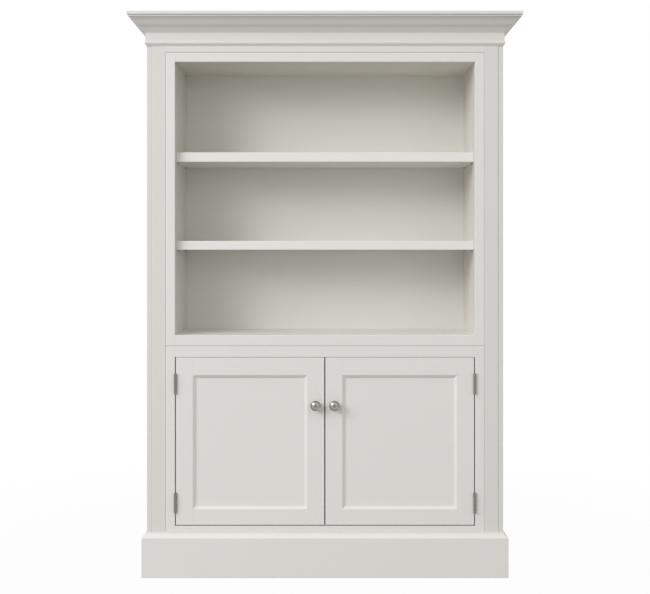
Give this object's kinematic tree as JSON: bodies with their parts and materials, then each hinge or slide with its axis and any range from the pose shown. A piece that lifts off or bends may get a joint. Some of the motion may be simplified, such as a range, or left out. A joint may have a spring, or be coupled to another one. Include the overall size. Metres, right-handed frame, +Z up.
{
  "type": "bookcase with cabinet doors",
  "caption": "Tall painted timber bookcase with open shelves over a cupboard with paired hinged panelled doors, moulded cornice and plinth.",
  "frame": {"origin": "on the floor, under the middle of the whole piece, cornice included", "axes": "+X to the right seen from the front, +Y to the back, +Z up; the doors and open shelves face -Y"},
  "size_m": [1.4584, 0.4442, 2.1],
  "materials": {
    "painted_timber": "brushed eggshell paint, pale warm grey, over joinery timber and board",
    "hinge_metal": "satin nickel butt hinges",
    "knob_metal": "satin pewter turned knobs",
    "strike_plate": "plain zinc plated steel strike",
    "catch_body": "plain moulded magnetic catch"
  },
  "bodies": {
    "cabinet": {"cornice_front": "painted_timber", "cornice_return_left": "painted_timber", "cornice_return_right": "painted_timber", "cupboard_shelf": "painted_timber", "end_panel_left": "painted_timber", "end_panel_right": "painted_timber", "frame_hinge_leaf_bottom_left": "hinge_metal", "frame_hinge_leaf_bottom_right": "hinge_metal", "frame_hinge_leaf_top_left": "hinge_metal", "frame_hinge_leaf_top_right": "hinge_metal", "lower_back_panel": "painted_timber", "lower_bottom_board": "painted_timber", "lower_frame_rail_bottom": "painted_timber", "lower_frame_rail_top": "painted_timber", "lower_frame_stile_left": "painted_timber", "lower_frame_stile_right": "painted_timber", "lower_side_left": "painted_timber", "lower_side_right": "painted_timber", "lower_spacer_left": "painted_timber", "lower_spacer_right": "painted_timber", "lower_top_board": "painted_timber", "magnetic_catch": "catch_body", "pilaster_left": "painted_timber", "pilaster_right": "painted_timber", "plinth_front": "painted_timber", "plinth_return_left": "painted_timber", "plinth_return_right": "painted_timber", "shelf_lower": "painted_timber", "shelf_upper": "painted_timber", "top_cover": "painted_timber", "top_fascia": "painted_timber", "upper_back_panel": "painted_timber", "upper_bottom_board": "painted_timber", "upper_frame_rail_bottom": "painted_timber", "upper_frame_rail_top": "painted_timber", "upper_frame_stile_left": "painted_timber", "upper_frame_stile_right": "painted_timber", "upper_side_left": "painted_timber", "upper_side_right": "painted_timber", "upper_spacer_left": "painted_timber", "upper_spacer_right": "painted_timber", "upper_top_board": "painted_timber"},
    "door_left": {"door_left_hinge_leaf_bottom": "hinge_metal", "door_left_hinge_leaf_top": "hinge_metal", "door_left_knob": "knob_metal", "door_left_panel": "painted_timber", "door_left_rail_bottom": "painted_timber", "door_left_rail_top": "painted_timber", "door_left_stile_hinge": "painted_timber", "door_left_stile_meeting": "painted_timber", "door_left_strike": "strike_plate"},
    "door_right": {"door_right_hinge_leaf_bottom": "hinge_metal", "door_right_hinge_leaf_top": "hinge_metal", "door_right_knob": "knob_metal", "door_right_panel": "painted_timber", "door_right_rail_bottom": "painted_timber", "door_right_rail_top": "painted_timber", "door_right_stile_hinge": "painted_timber", "door_right_stile_meeting": "painted_timber", "door_right_strike": "strike_plate"}
  },
  "joints": [
    {"name": "door_left_hinge", "type": "hinge", "parent": "cabinet", "child": "door_left", "pos_m": [-0.55825, -0.1634, 0.5055], "axis": [0, 0, -1], "range_deg": [0, 180]},
    {"name": "door_right_hinge", "type": "hinge", "parent": "cabinet", "child": "door_right", "pos_m": [0.55825, -0.1634, 0.5055], "axis": [0, 0, 1], "range_deg": [0, 180]}
  ]
}
